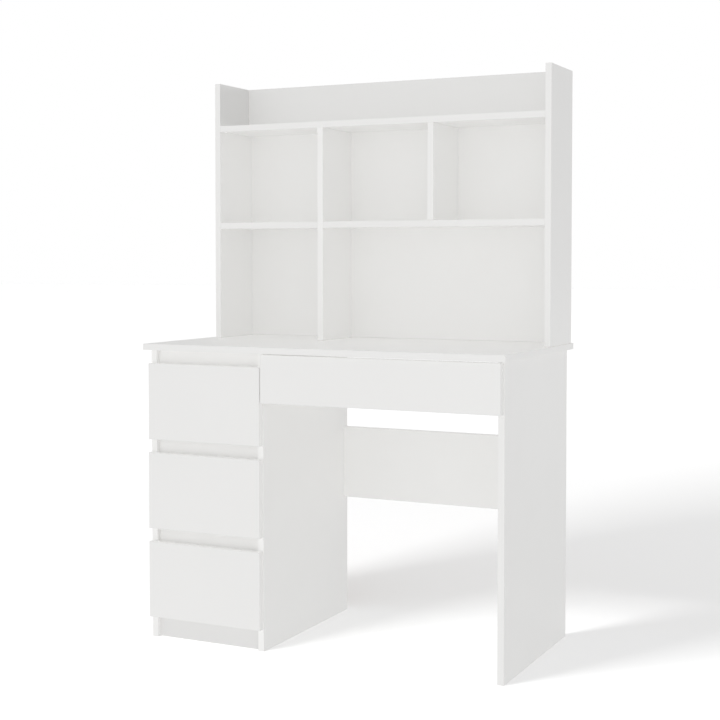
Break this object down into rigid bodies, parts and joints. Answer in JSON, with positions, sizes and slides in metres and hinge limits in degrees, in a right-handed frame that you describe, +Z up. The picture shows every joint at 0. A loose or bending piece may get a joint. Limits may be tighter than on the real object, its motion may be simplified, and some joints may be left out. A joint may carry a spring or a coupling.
{
  "type": "student desk with hutch",
  "caption": "White board desk with a drawer pedestal on the left, a wide pencil drawer over the knee space and a shelf hutch standing on the desktop.",
  "frame": {"origin": "on the floor under the middle of the desktop", "axes": "+X to the sitter's right, -Y the front with the drawers, +Z up"},
  "size_m": [0.98, 0.51, 1.452],
  "materials": {
    "white_board": "satin white melamine on chipboard",
    "white_sheet": "white lacquered hardboard",
    "runner_steel": "white epoxy coat",
    "nylon": "natural nylon",
    "zinc": "bright zinc",
    "beech": "raw beech"
  },
  "bodies": {
    "frame": {"desktop": "white_board", "right_leg_panel": "white_board", "pedestal_left_side": "white_board", "pedestal_right_side": "white_board", "pedestal_top_rail": "white_board", "pedestal_upper_rail": "white_board", "pedestal_lower_rail": "white_board", "pedestal_plinth": "white_board", "pedestal_bottom_panel": "white_board", "modesty_panel": "white_board", "hutch_left_side": "white_board", "hutch_right_side": "white_board", "hutch_top_shelf": "white_board", "hutch_left_shelf": "white_board", "hutch_right_shelf": "white_board", "hutch_tall_divider": "white_board", "hutch_short_divider": "white_board", "hutch_back_rail": "white_board", "pedestal_back_sheet": "white_sheet", "hutch_back_sheet": "white_sheet", "cam_housings": "zinc", "cam_bolts": "zinc", "wood_dowels": "beech", "pedestal_runners": "runner_steel", "knee_space_runners": "runner_steel"},
    "upper_drawer": {"upper_drawer_front": "white_board", "upper_drawer_left_side": "white_board", "upper_drawer_right_side": "white_board", "upper_drawer_back": "white_board", "upper_drawer_bottom": "white_sheet", "upper_drawer_runners": "runner_steel"},
    "upper_front_rollers": {"upper_front_rollers": "nylon"},
    "upper_tail_rollers": {"upper_tail_rollers": "nylon"},
    "middle_drawer": {"middle_drawer_front": "white_board", "middle_drawer_left_side": "white_board", "middle_drawer_right_side": "white_board", "middle_drawer_back": "white_board", "middle_drawer_bottom": "white_sheet", "middle_drawer_runners": "runner_steel"},
    "middle_front_rollers": {"middle_front_rollers": "nylon"},
    "middle_tail_rollers": {"middle_tail_rollers": "nylon"},
    "lower_drawer": {"lower_drawer_front": "white_board", "lower_drawer_left_side": "white_board", "lower_drawer_right_side": "white_board", "lower_drawer_back": "white_board", "lower_drawer_bottom": "white_sheet", "lower_drawer_runners": "runner_steel"},
    "lower_front_rollers": {"lower_front_rollers": "nylon"},
    "lower_tail_rollers": {"lower_tail_rollers": "nylon"},
    "pencil_drawer": {"pencil_drawer_front": "white_board", "pencil_drawer_left_side": "white_board", "pencil_drawer_right_side": "white_board", "pencil_drawer_back": "white_board", "pencil_drawer_bottom": "white_sheet", "pencil_drawer_runners": "runner_steel"},
    "pencil_front_rollers": {"pencil_front_rollers": "nylon"},
    "pencil_tail_rollers": {"pencil_tail_rollers": "nylon"}
  },
  "joints": [
    {"name": "upper_drawer_slide", "type": "slide", "parent": "frame", "child": "upper_drawer", "axis": [0, -1, 0], "range_m": [0, 0.3]},
    {"name": "upper_front_rollers_spin", "type": "hinge", "parent": "frame", "child": "upper_front_rollers", "pos_m": [-0.315, -0.214, 0.5478], "axis": [1, 0, 0], "range_deg": [0, 2040]},
    {"name": "upper_tail_rollers_spin", "type": "hinge", "parent": "upper_drawer", "child": "upper_tail_rollers", "pos_m": [-0.315, 0.155, 0.5478], "axis": [1, 0, 0], "range_deg": [0, 2040]},
    {"name": "middle_drawer_slide", "type": "slide", "parent": "frame", "child": "middle_drawer", "axis": [0, -1, 0], "range_m": [0, 0.3]},
    {"name": "middle_front_rollers_spin", "type": "hinge", "parent": "frame", "child": "middle_front_rollers", "pos_m": [-0.315, -0.214, 0.3188], "axis": [1, 0, 0], "range_deg": [0, 2040]},
    {"name": "middle_tail_rollers_spin", "type": "hinge", "parent": "middle_drawer", "child": "middle_tail_rollers", "pos_m": [-0.315, 0.155, 0.3188], "axis": [1, 0, 0], "range_deg": [0, 2040]},
    {"name": "lower_drawer_slide", "type": "slide", "parent": "frame", "child": "lower_drawer", "axis": [0, -1, 0], "range_m": [0, 0.3]},
    {"name": "lower_front_rollers_spin", "type": "hinge", "parent": "frame", "child": "lower_front_rollers", "pos_m": [-0.315, -0.214, 0.0898], "axis": [1, 0, 0], "range_deg": [0, 2040]},
    {"name": "lower_tail_rollers_spin", "type": "hinge", "parent": "lower_drawer", "child": "lower_tail_rollers", "pos_m": [-0.315, 0.155, 0.0898], "axis": [1, 0, 0], "range_deg": [0, 2040]},
    {"name": "pencil_drawer_slide", "type": "slide", "parent": "frame", "child": "pencil_drawer", "axis": [0, -1, 0], "range_m": [0, 0.3]},
    {"name": "pencil_front_rollers_spin", "type": "hinge", "parent": "frame", "child": "pencil_front_rollers", "pos_m": [0.157, -0.214, 0.6368], "axis": [1, 0, 0], "range_deg": [0, 2040]},
    {"name": "pencil_tail_rollers_spin", "type": "hinge", "parent": "pencil_drawer", "child": "pencil_tail_rollers", "pos_m": [0.157, 0.155, 0.6368], "axis": [1, 0, 0], "range_deg": [0, 2040]}
  ],
  "couplings": [
    {"joint": "upper_front_rollers_spin", "follows": "upper_drawer_slide", "rad_per_m": 117.65},
    {"joint": "upper_tail_rollers_spin", "follows": "upper_drawer_slide", "rad_per_m": 117.65},
    {"joint": "middle_front_rollers_spin", "follows": "middle_drawer_slide", "rad_per_m": 117.65},
    {"joint": "middle_tail_rollers_spin", "follows": "middle_drawer_slide", "rad_per_m": 117.65},
    {"joint": "lower_front_rollers_spin", "follows": "lower_drawer_slide", "rad_per_m": 117.65},
    {"joint": "lower_tail_rollers_spin", "follows": "lower_drawer_slide", "rad_per_m": 117.65},
    {"joint": "pencil_front_rollers_spin", "follows": "pencil_drawer_slide", "rad_per_m": 117.65},
    {"joint": "pencil_tail_rollers_spin", "follows": "pencil_drawer_slide", "rad_per_m": 117.65}
  ]
}
